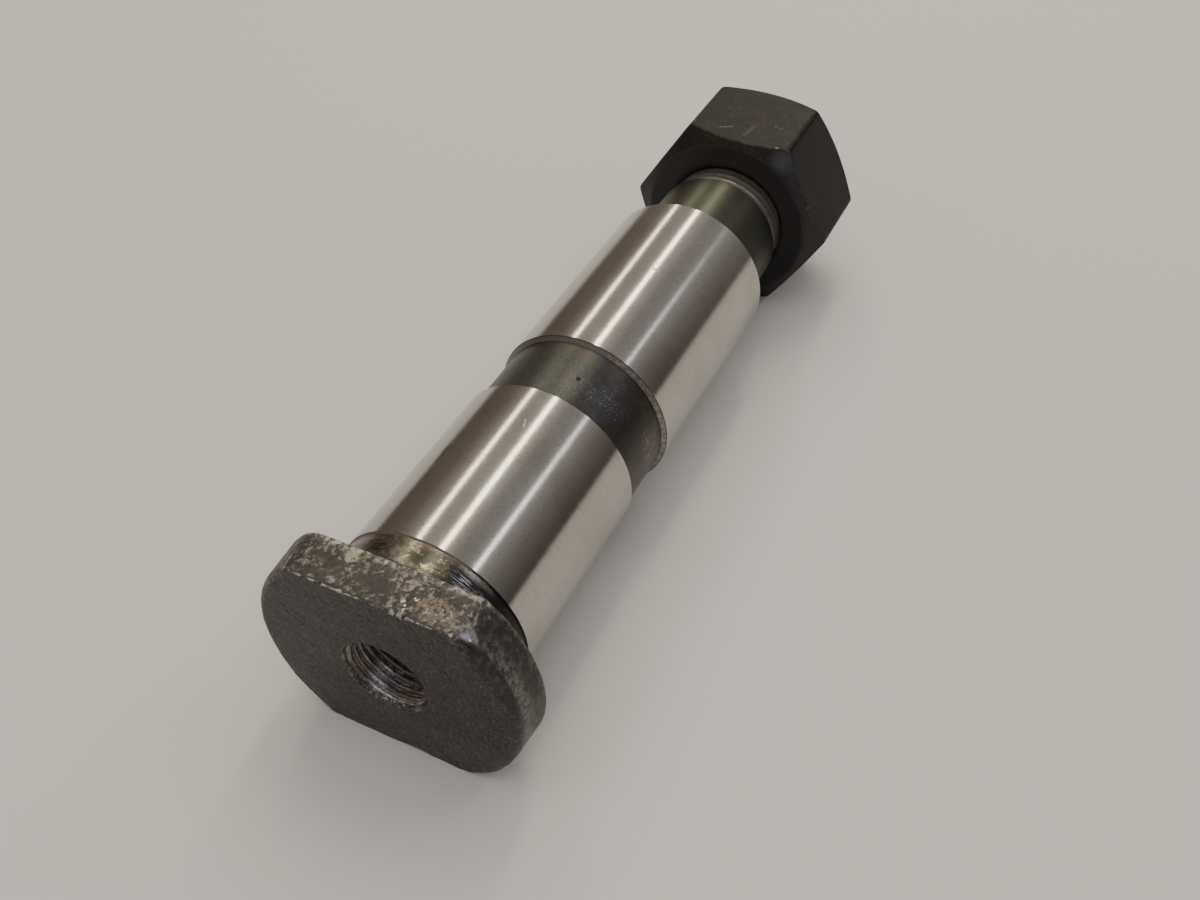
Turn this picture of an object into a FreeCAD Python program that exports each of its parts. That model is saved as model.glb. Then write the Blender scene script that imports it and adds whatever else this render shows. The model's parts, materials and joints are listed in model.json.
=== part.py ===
"""Leaf spring pin with its hex nut, lying on a flat of its head.

The pin is one forging: a double-D head, a turned collar, two ground journals with a dark relief
between them, a neck and a threaded end. The hex nut is screwed onto the threaded end.
Lengths along the pin are counted from the front face of the head.
"""
import FreeCAD, Part
import math
import os

# Whole pin
overall_length = 192.0

# Head: a round forging with two milled flats
head_thickness = 9.6
head_front_diameter = 54.4
head_back_diameter = 55.6
head_across_flats = 42.8
head_front_round = 1.4
head_back_chamfer = 0.7

# Corners between the flats and the round of the head, left over from forging; near is the -Y side
head_upper_near_corner_round = 1.2
head_lower_near_corner_round = 12.0
head_far_corners_round = 6.5

# Collar behind the head, left as turned
collar_diameter = 39.4
collar_length = 7.0
collar_root_round = 1.0

# Ground journals and the relief between them
journal_diameter = 40.0
journal_edge_break = 0.25
head_end_journal_length = 43.6
relief_length = 17.2
relief_diameter = 38.0
relief_root_round = 0.5
relief_far_chamfer = 0.9
nut_end_journal_length = 54.8

# Neck between the second journal and the thread
neck_diameter = 32.0
neck_length = 19.4
neck_root_round = 1.0
neck_end_chamfer = 0.8

# Threaded end, drawn at its outer diameter
thread_diameter = 30.0
thread_end_chamfer = 1.6
centre_hole_diameter = 8.0
centre_hole_angle = 60.0
centre_pilot_diameter = 3.15
centre_pilot_length = 4.0

# Grease port in the head, drawn at the bore that its thread is cut in
port_bore_diameter = 16.5
port_bore_length = 19.0
port_countersink_diameter = 18.0
port_countersink_angle = 60.0

# Grease drillings from the port to the relief
drill_point_angle = 118.0
gallery_diameter = 8.0
gallery_past_outlet = 3.0
outlet_diameter = 6.0
outlet_countersink_diameter = 7.4

# Hex nut
nut_across_flats = 46.0
nut_height = 28.6
nut_gap_from_neck = 7.0
nut_face_diameter = 42.6
nut_chamfer_angle = 35.0
nut_countersink_diameter = 32.4
nut_countersink_angle = 120.0
nut_thread_clearance = 0.05
nut_turn_from_head_flats = 3.1

# Worked out from the sizes above
head_half_flats = head_across_flats / 2
ground_start = head_thickness + collar_length
relief_start = ground_start + head_end_journal_length
relief_end = relief_start + relief_length
neck_start = relief_end + nut_end_journal_length
neck_end = neck_start + neck_length
nut_start = neck_end + nut_gap_from_neck
nut_end = nut_start + nut_height
nut_corner_radius = nut_across_flats / 2 / math.cos(math.radians(30))
nut_corner_from_down = abs(nut_turn_from_head_flats % 60 - 30)
nut_lowest = nut_corner_radius * math.cos(math.radians(nut_corner_from_down))

# The pin's axis runs along X, at the height where the lowest piece touches the ground
axis_height = max(nut_lowest, head_half_flats, journal_diameter / 2)
head_face_x = -overall_length / 2
along_x = FreeCAD.Vector(1, 0, 0)
axis_point = FreeCAD.Vector(0, 0, axis_height)


def on_section(along, radius):
    """A point of the half section above the pin's axis."""
    return FreeCAD.Vector(head_face_x + along, 0, axis_height + radius)


def rounded_outline(corners):
    """A closed wire through corners (along, radius, round), each rounded by its own arc."""
    points = [on_section(along, radius) for along, radius, _ in corners]
    rounds = [corner_round for _, _, corner_round in corners]
    edges = []
    ends = []
    for index, corner in enumerate(points):
        before = (points[index - 1] - corner).normalize()
        after = (points[(index + 1) % len(points)] - corner).normalize()
        corner_round = rounds[index]
        if corner_round == 0:
            ends.append((corner, corner))
            continue
        half_angle = before.getAngle(after) / 2
        reach = corner_round / math.tan(half_angle)
        middle = (before + after).normalize() * (corner_round / math.sin(half_angle) - corner_round)
        start = corner + before * reach
        end = corner + after * reach
        edges.append(Part.Arc(start, corner + middle, end).toShape())
        ends.append((start, end))
    for index, (_, line_start) in enumerate(ends):
        line_end = ends[(index + 1) % len(ends)][0]
        if line_start.distanceToPoint(line_end) > 1e-6:
            edges.append(Part.makeLine(line_start, line_end))
    return Part.Wire(Part.__sortEdges__(edges))


def turned(corners):
    """A solid of revolution about the pin's axis."""
    return Part.Face(rounded_outline(corners)).revolve(axis_point, along_x, 360)


def cone_depth(outer_diameter, inner_diameter, included_angle):
    """How deep a cone of the given included angle is between two diameters."""
    return (outer_diameter - inner_diameter) / 2 / math.tan(math.radians(included_angle / 2))


def head():
    """The round blank, milled to two flats, with its corners and its front and back rims rounded."""
    front = head_front_diameter / 2
    back = head_back_diameter / 2
    blank = turned([
        (0, 0, 0),
        (0, front, 0),
        (head_thickness, back, 0),
        (head_thickness, 0, 0),
    ])
    slab = Part.makeBox(head_thickness, head_back_diameter, head_across_flats)
    slab.translate(FreeCAD.Vector(head_face_x, -head_back_diameter / 2, axis_height - head_half_flats))
    milled = blank.common(slab)
    milled = milled.makeFillet(head_upper_near_corner_round, [corner_edge(milled, up=1, side=-1)])
    milled = milled.makeFillet(head_lower_near_corner_round, [corner_edge(milled, up=-1, side=-1)])
    milled = milled.makeFillet(head_far_corners_round, [corner_edge(milled, up=1, side=1)])
    milled = milled.makeFillet(head_far_corners_round, [corner_edge(milled, up=-1, side=1)])
    rims = turned([
        (0, 0, 0),
        (0, front, head_front_round),
        (head_thickness - head_back_chamfer, back, 0),
        (head_thickness, back - head_back_chamfer, 0),
        (head_thickness, 0, 0),
    ])
    return milled.common(rims)


def corner_edge(milled, up, side):
    """The edge along the pin where a flat meets the round of the head, above or below and at +Y or -Y."""
    for edge in milled.Edges:
        centre = edge.BoundBox.Center
        on_the_flat = abs((centre.z - axis_height) * up - head_half_flats) < 0.01
        on_the_side = centre.y * side > 0
        runs_along_pin = edge.BoundBox.XLength > head_thickness / 2
        if on_the_flat and on_the_side and runs_along_pin:
            return edge


def shank():
    """Everything behind the head, turned to one profile."""
    collar = collar_diameter / 2
    journal = journal_diameter / 2
    relief = relief_diameter / 2
    neck = neck_diameter / 2
    thread = thread_diameter / 2
    ground_step = journal - collar
    far_chamfer_foot = relief_end - relief_far_chamfer
    return turned([
        (head_thickness / 2, 0, 0),
        (head_thickness / 2, collar + collar_root_round, 0),
        (head_thickness, collar + collar_root_round, 0),
        (head_thickness, collar, collar_root_round),
        (ground_start - ground_step, collar, 0),
        (ground_start, journal, 0),
        (relief_start - journal_edge_break, journal, 0),
        (relief_start, journal - journal_edge_break, 0),
        (relief_start, relief, relief_root_round),
        (far_chamfer_foot, relief, 0),
        (relief_end, journal, 0),
        (neck_start - journal_edge_break, journal, 0),
        (neck_start, journal - journal_edge_break, 0),
        (neck_start, neck, neck_root_round),
        (neck_end, neck, 0),
        (neck_end + neck_end_chamfer, thread, 0),
        (overall_length - thread_end_chamfer, thread, 0),
        (overall_length, thread - thread_end_chamfer, 0),
        (overall_length, 0, 0),
    ])


def port_and_gallery():
    """The grease port's bore and the long drilling behind it, each with a drill point."""
    bore = port_bore_diameter / 2
    gallery = gallery_diameter / 2
    sink = cone_depth(port_countersink_diameter, port_bore_diameter, port_countersink_angle)
    outlet_along = (relief_start + relief_end) / 2
    gallery_end = outlet_along + outlet_diameter / 2 + gallery_past_outlet
    bore_point = cone_depth(port_bore_diameter, gallery_diameter, drill_point_angle)
    gallery_point = cone_depth(gallery_diameter, 0, drill_point_angle)
    return turned([
        (-1, 0, 0),
        (-1, port_countersink_diameter / 2, 0),
        (0, port_countersink_diameter / 2, 0),
        (sink, bore, 0),
        (port_bore_length, bore, 0),
        (port_bore_length + bore_point, gallery, 0),
        (gallery_end, gallery, 0),
        (gallery_end + gallery_point, 0, 0),
    ])


def outlet():
    """The cross drilling from the gallery down to the underside of the relief."""
    outlet_x = head_face_x + (relief_start + relief_end) / 2
    relief = relief_diameter / 2
    down = FreeCAD.Vector(0, 0, -1)
    centre = FreeCAD.Vector(outlet_x, 0, axis_height)
    drilling = Part.makeCylinder(outlet_diameter / 2, relief + 1, centre, down)
    sink_depth = (outlet_countersink_diameter - outlet_diameter) / 2
    sink_base = FreeCAD.Vector(outlet_x, 0, axis_height - relief)
    sink = Part.makeCone(outlet_countersink_diameter / 2, outlet_diameter / 2, sink_depth, sink_base, -down)
    return drilling.fuse(sink)


def centre_hole():
    """The centre drilled in the threaded end, which held the pin for grinding."""
    mouth = centre_hole_diameter / 2
    pilot = centre_pilot_diameter / 2
    cone = cone_depth(centre_hole_diameter, centre_pilot_diameter, centre_hole_angle)
    pilot_end = overall_length - cone - centre_pilot_length
    pilot_point = cone_depth(centre_pilot_diameter, 0, drill_point_angle)
    return turned([
        (overall_length + 1, 0, 0),
        (overall_length + 1, mouth, 0),
        (overall_length, mouth, 0),
        (overall_length - cone, pilot, 0),
        (pilot_end, pilot, 0),
        (pilot_end - pilot_point, 0, 0),
    ])


def spring_pin():
    """The finished pin."""
    forging = head().fuse(shank()).removeSplitter()
    return forging.cut(port_and_gallery()).cut(outlet()).cut(centre_hole())


def hex_nut():
    """The nut: a hexagonal bar, chamfered at both faces, bored and countersunk."""
    corners = []
    for number in range(7):
        angle = math.radians(60 * number + 30)
        across = nut_corner_radius * math.sin(angle)
        up = nut_corner_radius * math.cos(angle)
        corners.append(FreeCAD.Vector(head_face_x + nut_start, across, axis_height + up))
    bar = Part.Face(Part.makePolygon(corners)).extrude(along_x * nut_height)
    face = nut_face_diameter / 2
    beyond = nut_corner_radius + 1
    slope = (beyond - face) * math.tan(math.radians(nut_chamfer_angle))
    envelope = turned([
        (nut_start, 0, 0),
        (nut_start, face, 0),
        (nut_start + slope, beyond, 0),
        (nut_end - slope, beyond, 0),
        (nut_end, face, 0),
        (nut_end, 0, 0),
    ])
    bore = thread_diameter / 2 + nut_thread_clearance
    mouth = nut_countersink_diameter / 2
    sink = cone_depth(nut_countersink_diameter, 2 * bore, nut_countersink_angle)
    hole = turned([
        (nut_start - 1, 0, 0),
        (nut_start - 1, mouth, 0),
        (nut_start, mouth, 0),
        (nut_start + sink, bore, 0),
        (nut_end - sink, bore, 0),
        (nut_end, mouth, 0),
        (nut_end + 1, mouth, 0),
        (nut_end + 1, 0, 0),
    ])
    nut = bar.common(envelope).cut(hole)
    nut.rotate(axis_point, along_x, nut_turn_from_head_flats)
    return nut


def write(name, shape):
    """Writes one solid as one STEP file."""
    solid = shape.Solids[0]
    print(name, "solids", len(shape.Solids), "valid", solid.isValid(), "volume", round(solid.Volume))
    solid.exportStep("parts/" + name + ".step")


os.makedirs("parts", exist_ok=True)
write("spring_pin", spring_pin())
write("hex_nut", hex_nut())
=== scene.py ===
import bmesh
import bpy
import json
import math
import numpy as np
from mathutils import Matrix, Vector, noise


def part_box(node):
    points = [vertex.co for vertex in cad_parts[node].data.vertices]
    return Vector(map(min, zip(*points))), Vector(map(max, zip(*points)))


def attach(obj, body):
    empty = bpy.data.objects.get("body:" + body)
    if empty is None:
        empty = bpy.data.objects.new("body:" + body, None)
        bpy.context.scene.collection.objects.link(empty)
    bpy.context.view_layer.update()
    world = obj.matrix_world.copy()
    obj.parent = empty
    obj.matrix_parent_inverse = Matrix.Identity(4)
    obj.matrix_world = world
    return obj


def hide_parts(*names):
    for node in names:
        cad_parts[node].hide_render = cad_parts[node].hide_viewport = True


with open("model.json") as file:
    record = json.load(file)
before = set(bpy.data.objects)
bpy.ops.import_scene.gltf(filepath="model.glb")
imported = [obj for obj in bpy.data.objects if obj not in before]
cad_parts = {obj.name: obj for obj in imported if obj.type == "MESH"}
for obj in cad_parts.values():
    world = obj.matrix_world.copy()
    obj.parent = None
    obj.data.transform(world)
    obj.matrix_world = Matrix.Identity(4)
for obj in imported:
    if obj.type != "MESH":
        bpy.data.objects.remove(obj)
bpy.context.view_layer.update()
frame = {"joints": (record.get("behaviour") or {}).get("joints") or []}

# Looks of the leaf spring pin and its hex nut: two closed skins, their metals, floor, lights and camera.
# Lengths are millimetres, counted along the pin from the front face of its head.
# A roll is an angle about the pin's axis in degrees, from straight up towards -Y.
MM = 0.001
head_face_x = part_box("spring_pin")[0].x / MM
overall_length = (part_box("spring_pin")[1].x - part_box("spring_pin")[0].x) / MM
axis_height = frame["joints"][0]["pos_m"][2] / MM

# Sizes of the solids that the skins follow
head_thickness = 9.6
head_front_radius = 27.2
head_back_radius = 27.8
head_half_flats = 21.4
flat_corner_roll = math.degrees(math.acos(head_half_flats / head_front_radius))
head_front_round = 1.4
head_back_chamfer = 0.7
upper_near_corner_round = 1.2
lower_near_corner_round = 12.0
far_corners_round = 6.5
collar_radius = 19.7
collar_root_round = 1.0
ground_start = 16.6
journal_radius = 20.0
journal_edge_break = 0.25
relief_start = 60.2
relief_end = 77.4
relief_radius = 19.0
relief_root_round = 0.5
relief_far_chamfer = 0.9
neck_start = 132.2
neck_end = 151.6
neck_radius = 16.0
neck_root_round = 1.0
neck_end_chamfer = 0.8
thread_radius = 15.0
thread_end_chamfer = 1.6
centre_hole_radius = 4.0
centre_hole_half_angle = 30.0
centre_pilot_radius = 1.575
centre_pilot_length = 4.0
port_bore_radius = 8.25
port_bore_length = 19.0
port_mouth_radius = 9.0
port_sink_half_angle = 30.0
half_drill_point = 59.0
gallery_radius = 4.0
gallery_past_outlet = 3.0
outlet_radius = 3.0
outlet_mouth_radius = 3.7
nut_start = 158.6
nut_end = 187.2
nut_half_flats = 23.0
nut_corner_radius = nut_half_flats / math.cos(math.radians(30))
nut_face_radius = 21.3
nut_chamfer_slope = math.tan(math.radians(35.0))
nut_mouth_radius = 16.2
nut_mouth_half_angle = 60.0
nut_bore_radius = 15.05
nut_turn = 3.1

# Threads, cut into the solids' plain cylinders
port_pitch = 1.5
port_thread_depth = 0.55
port_thread_start = 0.2
port_thread_end = 15.7
stud_pitch = 2.0
stud_thread_depth = 1.2
stud_crest_radius = thread_radius - 0.03
stud_run_out_share = 0.1

# How fine the skins are. Each ring's step is how many columns it takes at a time.
pin_columns = 512
nut_columns = 480
weld_distance = 0.002
shortest_edge = 0.001
same_place = 0.0001 * MM
sharp_edge_angle = 38.0


def smooth_step(value, low, high):
    """0 below low, 1 above high, and an even turn between."""
    share = np.clip((value - low) / (high - low), 0, 1)
    return share * share * (3 - 2 * share)


def bump_at(value, centre, width):
    """A smooth hill of height 1 about a centre."""
    return np.exp(-((value - centre) / width) ** 2)


def steps(start, end, count):
    """Even steps from start to end, without the start itself."""
    return np.linspace(start, end, count + 1)[1:]


def even_rolls(count, corners, spread):
    """Rolls round the pin in radians, three times as close together near the corners."""
    fine = np.linspace(0, 360, 7201)
    density = np.ones(len(fine))
    for corner in corners:
        apart = (fine - corner + 180) % 360 - 180
        density += 2 * bump_at(apart, 0, spread)
    travelled = np.concatenate([[0], np.cumsum((density[1:] + density[:-1]) / 2)])
    shares = np.arange(count) / count
    return np.radians(np.interp(shares * travelled[-1], travelled, fine))


def ripple(points, size, seed, octaves=3):
    """Fractal noise from about -1 to 1 at each point, with waves of about the given size."""
    shift = Vector((seed * 17.3, seed * 5.1, seed * 9.7))
    return np.array([noise.fractal(Vector(p) / size + shift, 1.0, 2.0, octaves) for p in points])


def add_object(name, data):
    """A new object in the scene."""
    body = bpy.data.objects.new(name, data)
    bpy.context.scene.collection.objects.link(body)
    return body


def weld(work, apart, shortest):
    """Joins points no further apart than that, and takes out shorter edges and the flat faces at them."""
    bmesh.ops.remove_doubles(work, verts=work.verts, dist=apart)
    bmesh.ops.dissolve_degenerate(work, edges=work.edges, dist=shortest)


class Skin:
    """Rings of points about the pin's axis, stitched in turn into one closed surface.

    A zone is the number of the material slot that a face has.
    """

    def __init__(self, rolls):
        self.rolls = rolls
        self.points = []
        self.edges = []
        self.faces = []
        self.zones = []
        self.size = 0
        self.last = None

    def add(self, along, radius, rolls, edge=0.0):
        """Adds one row of points and gives their numbers. edge says how much each one is worn."""
        along = np.broadcast_to(along, rolls.shape)
        radius = np.broadcast_to(radius, rolls.shape)
        across = -radius * np.sin(rolls)
        up = axis_height + radius * np.cos(rolls)
        self.points.append(np.stack([head_face_x + along, across, up], 1))
        self.edges.append(np.broadcast_to(edge, rolls.shape).astype(float))
        self.size += len(rolls)
        return np.arange(self.size - len(rolls), self.size)

    def face(self, corners, zone):
        self.faces.append([int(c) for c in corners])
        self.zones.append(zone)

    def stitch(self, one, two, zone):
        """Joins two rings, of which one may have a few times as many points as the other."""
        if len(one) == len(two):
            for a, b, c, d in zip(one, np.roll(one, -1), np.roll(two, -1), two):
                self.face((a, b, c, d), zone)
            return
        coarse_first = len(one) < len(two)
        coarse, fine = (one, two) if coarse_first else (two, one)
        ratio = len(fine) // len(coarse)
        for number, (here, there) in enumerate(zip(coarse, np.roll(coarse, -1))):
            run = [fine[(number * ratio + step) % len(fine)] for step in range(ratio + 1)]
            for step in range(ratio):
                hub = here if step < ratio / 2 else there
                corners = (hub, run[step + 1], run[step])
                self.face(corners if coarse_first else corners[::-1], zone)
            corners = (here, there, run[ratio // 2])
            self.face(corners if coarse_first else corners[::-1], zone)

    def ring(self, along, radius, zone, step=1, edge=0.0):
        """The next ring. step leaves out columns, so that small rings are coarser."""
        ids = self.add(along, radius, self.rolls[::step], edge)
        if self.last is not None:
            self.stitch(self.last, ids, zone)
        self.last = ids

    def close(self, along, zone):
        """A point on the axis, which ends the skin."""
        tip = self.add(along, 0.0, np.zeros(1))[0]
        for a, b in zip(self.last, np.roll(self.last, -1)):
            self.face((a, b, tip), zone)

    def start(self, tip_along, along, radius, zone, step):
        """A point on the axis with the first ring about it."""
        tip = self.add(tip_along, 0.0, np.zeros(1))[0]
        self.ring(along, radius, zone, step)
        for a, b in zip(self.last, np.roll(self.last, -1)):
            self.face((b, a, tip), zone)

    def thread(self, first, last, pitch, form, radius_at, zone, step):
        """A right-hand thread from one ring to the next.

        Its rows follow the helix, and fall together past the ends.
        """
        rolls = self.rolls[::step]
        way = 1 if last > first else -1
        per_turn = len(form)
        lead = 2 if way > 0 else 1
        rows = []
        for turn in range(int(abs(last - first) / pitch) + 4):
            for share, depth in form:
                along = first + pitch * (way * (turn + share - lead) + rolls / (2 * math.pi))
                along = np.clip(along, min(first, last), max(first, last))
                rows.append(self.add(along, radius_at(along, depth), rolls, 1 - depth))
        for number in range(len(rows) - 1):
            near, far = rows[number], rows[number + 1]
            for a, b, c, d in zip(near[:-1], near[1:], far[1:], far[:-1]):
                self.face((a, b, c, d), zone)
            next_turn = number + way * per_turn
            if 0 <= next_turn and next_turn + 1 < len(rows):
                self.face((near[-1], rows[next_turn][0], rows[next_turn + 1][0], far[-1]), zone)
        ends = rolls * 0 + last
        self.last = self.add(ends, radius_at(ends, 0.0), rolls)

    def build(self, name, metals, wear):
        """Welds the skin, sinks its points by their wear along the normals and gives the finished object."""
        mesh = bpy.data.meshes.new(name)
        mesh.from_pydata(np.concatenate(self.points), [], self.faces)
        mesh.polygons.foreach_set("material_index", self.zones)
        worn = mesh.attributes.new("edge", "FLOAT", "POINT")
        worn.data.foreach_set("value", np.concatenate(self.edges))
        work = bmesh.new()
        work.from_mesh(mesh)
        weld(work, weld_distance, shortest_edge)
        loose = [v for v in work.verts if not v.link_faces]
        bmesh.ops.delete(work, geom=loose, context="VERTS")
        work.normal_update()
        depths = wear(np.array([v.co for v in work.verts]))
        for vertex, depth in zip(work.verts, depths):
            vertex.co -= vertex.normal * depth
        bmesh.ops.scale(work, vec=(MM, MM, MM), verts=work.verts)
        work.to_mesh(mesh)
        work.free()
        mesh.shade_smooth()
        mesh.set_sharp_from_angle(angle=math.radians(sharp_edge_angle))
        for metal in metals:
            mesh.materials.append(metal)
        return add_object(name, mesh)


def corner_round(rolls):
    """Radius of the head's corner nearest to each roll. The near side is -Y."""
    near = np.where(np.cos(rolls) > 0, upper_near_corner_round, lower_near_corner_round)
    return np.where(np.sin(rolls) > 0, near, far_corners_round)


def double_d(rolls, radius, half_flats):
    """Radius of the head's outline at each roll: an arc cut by two flats, with rounded corners."""
    corner = corner_round(rolls)
    up = np.abs(np.cos(rolls))
    side = np.abs(np.sin(rolls))
    centre_up = half_flats - corner
    centre_side = np.sqrt((radius - corner) ** 2 - centre_up ** 2)
    reach = side * centre_side + up * centre_up
    rounded = reach + np.sqrt(np.maximum(reach ** 2 - centre_side ** 2 - centre_up ** 2 + corner ** 2, 0))
    flat = half_flats / np.maximum(up, 1e-6)
    on_flat = side * half_flats <= centre_side * up
    on_arc = side * centre_up >= centre_side * up
    return np.where(on_flat, flat, np.where(on_arc, radius, rounded))


def arc_share(rolls):
    """1 on the head's two arcs, 0 on its flats."""
    from_up = np.degrees(np.arctan2(np.abs(np.sin(rolls)), np.abs(np.cos(rolls))))
    return smooth_step(from_up, flat_corner_roll - 2.5, flat_corner_roll + 1.5)


def head_side_radius(along):
    """The head's sides widen a little from its front to its back."""
    return head_front_radius + (head_back_radius - head_front_radius) * along / head_thickness


def front_rim_round(rolls):
    """How far the head's front edge is rounded back, with its chips and worn stretches."""
    roll = (np.degrees(rolls) + 180) % 360 - 180
    across = -double_d(rolls, head_front_radius, head_half_flats) * np.sin(rolls)
    flat_edge = 0.3 + 0.16 * ripple([(x, 3.1, 0.4) for x in across], 1.3, 4)
    upper_chips = 0.8 * bump_at(across, -4.9, 0.9) + 1.0 * bump_at(across, -7.1, 0.8)
    upper_chips += 0.4 * bump_at(across, 5.2, 0.7) + 0.35 * bump_at(across, 9.6, 0.8)
    lower_chips = 0.75 * bump_at(across, -4.5, 1.5) + 0.4 * bump_at(across, -1.5, 2.0)
    flat_edge += np.where(np.cos(rolls) > 0, upper_chips, lower_chips)
    around = ripple([(math.cos(r) * 27, math.sin(r) * 27, 0.0) for r in rolls], 4.0, 9)
    arc_edge = head_front_round + 0.2 * around
    arc_edge += 1.1 * bump_at(roll, 62, 17)
    arc_edge += 0.4 * bump_at(roll, 108, 10)
    corner_chip = 0.5 * bump_at(roll, 41.5, 4.0)
    share = arc_share(rolls)
    return flat_edge * (1 - share) + arc_edge * share + corner_chip


# The pin's metals, in the order of its material slots
FORGED, COLLAR, GROUND, RELIEF, NECK, THREAD, PORT = range(7)
internal_form = [(0.02, 0.0), (0.24, 0.0), (0.32, 0.16), (0.56, 0.98), (0.68, 0.98), (0.94, 0.16)]
external_form = [(0.02, 0.0), (0.12, 0.0), (0.18, 0.1), (0.46, 0.96), (0.64, 0.96), (0.92, 0.1)]


def port_radius(along, depth):
    """Radius of the port's wall: its countersink, then the thread, which runs out before the bore's end."""
    sink = port_mouth_radius - along * math.tan(math.radians(port_sink_half_angle))
    fade = smooth_step(-along, -port_thread_end, -port_thread_end + port_pitch)
    fade = fade * smooth_step(along, port_thread_start, port_thread_start + port_pitch / 2)
    return np.maximum(port_bore_radius + port_thread_depth * depth * fade, sink)


def stud_radius(along, depth):
    """Radius of the threaded end, with its run-out by the neck and its end chamfer."""
    start = neck_end + neck_end_chamfer
    filled = stud_run_out_share * smooth_step(along, start, start + 0.8 * stud_pitch)
    clean = (1 - stud_run_out_share) * smooth_step(along, nut_start, nut_start + 2 * stud_pitch)
    cut = stud_crest_radius - stud_thread_depth * depth * (filled + clean)
    chamfer = thread_radius - np.maximum(along - (overall_length - thread_end_chamfer), 0)
    return np.minimum(cut, chamfer)


def port_rings(skin):
    """From the gallery's drill point out to the port's countersink."""
    coarse = 4
    drill_slope = math.tan(math.radians(half_drill_point))
    gallery_end = (relief_start + relief_end) / 2 + outlet_radius + gallery_past_outlet
    skin.start(gallery_end + gallery_radius / drill_slope, gallery_end, gallery_radius, PORT, 8)
    bore_point = (port_bore_radius - gallery_radius) / drill_slope
    skin.ring(port_bore_length + bore_point, gallery_radius, PORT, 8)
    skin.ring(port_bore_length, port_bore_radius, PORT, coarse)
    skin.ring(port_thread_end, port_bore_radius, PORT, coarse)
    skin.thread(port_thread_end, 0.0, port_pitch, internal_form, port_radius, PORT, coarse)


def head_rings(skin):
    """The front face, rim, sides and back of the head."""
    rolls = skin.rolls
    rim = front_rim_round(rolls)
    share = arc_share(rolls)
    face_outline = double_d(rolls, head_front_radius - rim * share, head_half_flats - rim * (1 - share))
    for number, way in enumerate(steps(0, 1, 33)[:-1]):
        step = 2 if number < 16 else 1
        radius = port_mouth_radius + (face_outline[::step] - port_mouth_radius) * way
        skin.ring(0.0, radius, FORGED, step)
    for turn in np.linspace(0, 90, 8):
        inset = rim * (1 - math.sin(math.radians(turn)))
        back = rim * (1 - math.cos(math.radians(turn)))
        side = head_side_radius(back) - inset * share
        radius = double_d(rolls, side, head_half_flats - inset * (1 - share))
        skin.ring(back, radius, FORGED, edge=math.sin(math.radians(2 * turn)) ** 0.5)
    side_end = head_thickness - head_back_chamfer
    for way in steps(0, 1, 19):
        along = rim + (side_end - rim) * way
        radius = double_d(rolls, head_side_radius(along), head_half_flats)
        skin.ring(along, radius, FORGED, edge=bump_at(way, 1, 0.06))
    for turn in (30, 60, 90):
        inset = head_back_chamfer * (1 - math.cos(math.radians(turn)))
        along = side_end + head_back_chamfer * math.sin(math.radians(turn))
        radius = double_d(rolls, head_side_radius(side_end) - inset * share, head_half_flats - 0.4 * inset)
        skin.ring(along, radius, FORGED, edge=math.sin(math.radians(2 * turn)) ** 2)
    back_outline = radius
    root = collar_radius + collar_root_round
    for way in (0.25, 0.5, 0.75, 1.0):
        skin.ring(head_thickness, back_outline + (root - back_outline) * way, FORGED)


def root_round(skin, start, foot_radius, size, turns, zone, step=1):
    """A hollow quarter round from a shoulder down to the surface at its foot."""
    for turn in turns:
        along = start + size * (1 - math.cos(math.radians(turn)))
        radius = foot_radius + size * (1 - math.sin(math.radians(turn)))
        skin.ring(along, radius, zone, step)


def shank_rings(skin):
    """The collar, journals, relief and neck."""
    root_round(skin, head_thickness, collar_radius, collar_root_round, (30, 60, 90), COLLAR)
    ground_step = journal_radius - collar_radius
    collar_end = ground_start - ground_step
    for along in steps(head_thickness + collar_root_round, collar_end, 11):
        skin.ring(along, collar_radius, COLLAR)
    skin.ring(ground_start, journal_radius, COLLAR, edge=1.0)
    journal(skin, ground_start, relief_start)
    root_round(skin, relief_start, relief_radius, relief_root_round, (0, 45, 90), RELIEF, 2)
    chamfer_foot = relief_end - relief_far_chamfer
    for along in steps(relief_start + relief_root_round, chamfer_foot, 33):
        skin.ring(along, relief_radius, RELIEF, 2)
    for way in (0.1, 0.5, 0.9, 1.0):
        along = chamfer_foot + relief_far_chamfer * way
        skin.ring(along, relief_radius + way, RELIEF, 2, edge=bump_at(way, 1, 0.3))
    journal(skin, relief_end, neck_start)
    root_round(skin, neck_start, neck_radius, neck_root_round, (0, 30, 60, 90), NECK, 2)
    for along in steps(neck_start + neck_root_round, neck_end, 11):
        skin.ring(along, neck_radius, NECK, 2)
    skin.ring(neck_end + 0.1, neck_radius - 0.1, THREAD, 2, edge=1.0)
    skin.ring(neck_end + neck_end_chamfer, stud_crest_radius, THREAD, 4)


def journal(skin, start, end):
    """One ground length, with its far edge broken."""
    margin = 0.3
    break_start = end - journal_edge_break
    skin.ring(start + margin, journal_radius, GROUND, 2)
    for along in steps(start + margin, break_start - margin, 4):
        skin.ring(along, journal_radius, GROUND, 2)
    skin.ring(break_start, journal_radius, GROUND, 2)
    skin.ring(end, journal_radius - journal_edge_break, GROUND, 2, edge=1.0)


def stud_end_rings(skin):
    """The stud's end face and the centre hole in it."""
    cone = (centre_hole_radius - centre_pilot_radius) / math.tan(math.radians(centre_hole_half_angle))
    margin = 0.4
    skin.ring(overall_length, thread_radius - thread_end_chamfer - margin, THREAD, 4)
    skin.ring(overall_length, centre_hole_radius + margin, THREAD, 4)
    skin.ring(overall_length, centre_hole_radius, THREAD, 4, edge=1.0)
    skin.ring(overall_length - cone, centre_pilot_radius, THREAD, 8)
    pilot_end = overall_length - cone - centre_pilot_length
    skin.ring(pilot_end, centre_pilot_radius, THREAD, 8)
    skin.close(pilot_end - centre_pilot_radius / math.tan(math.radians(half_drill_point)), THREAD)


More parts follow.
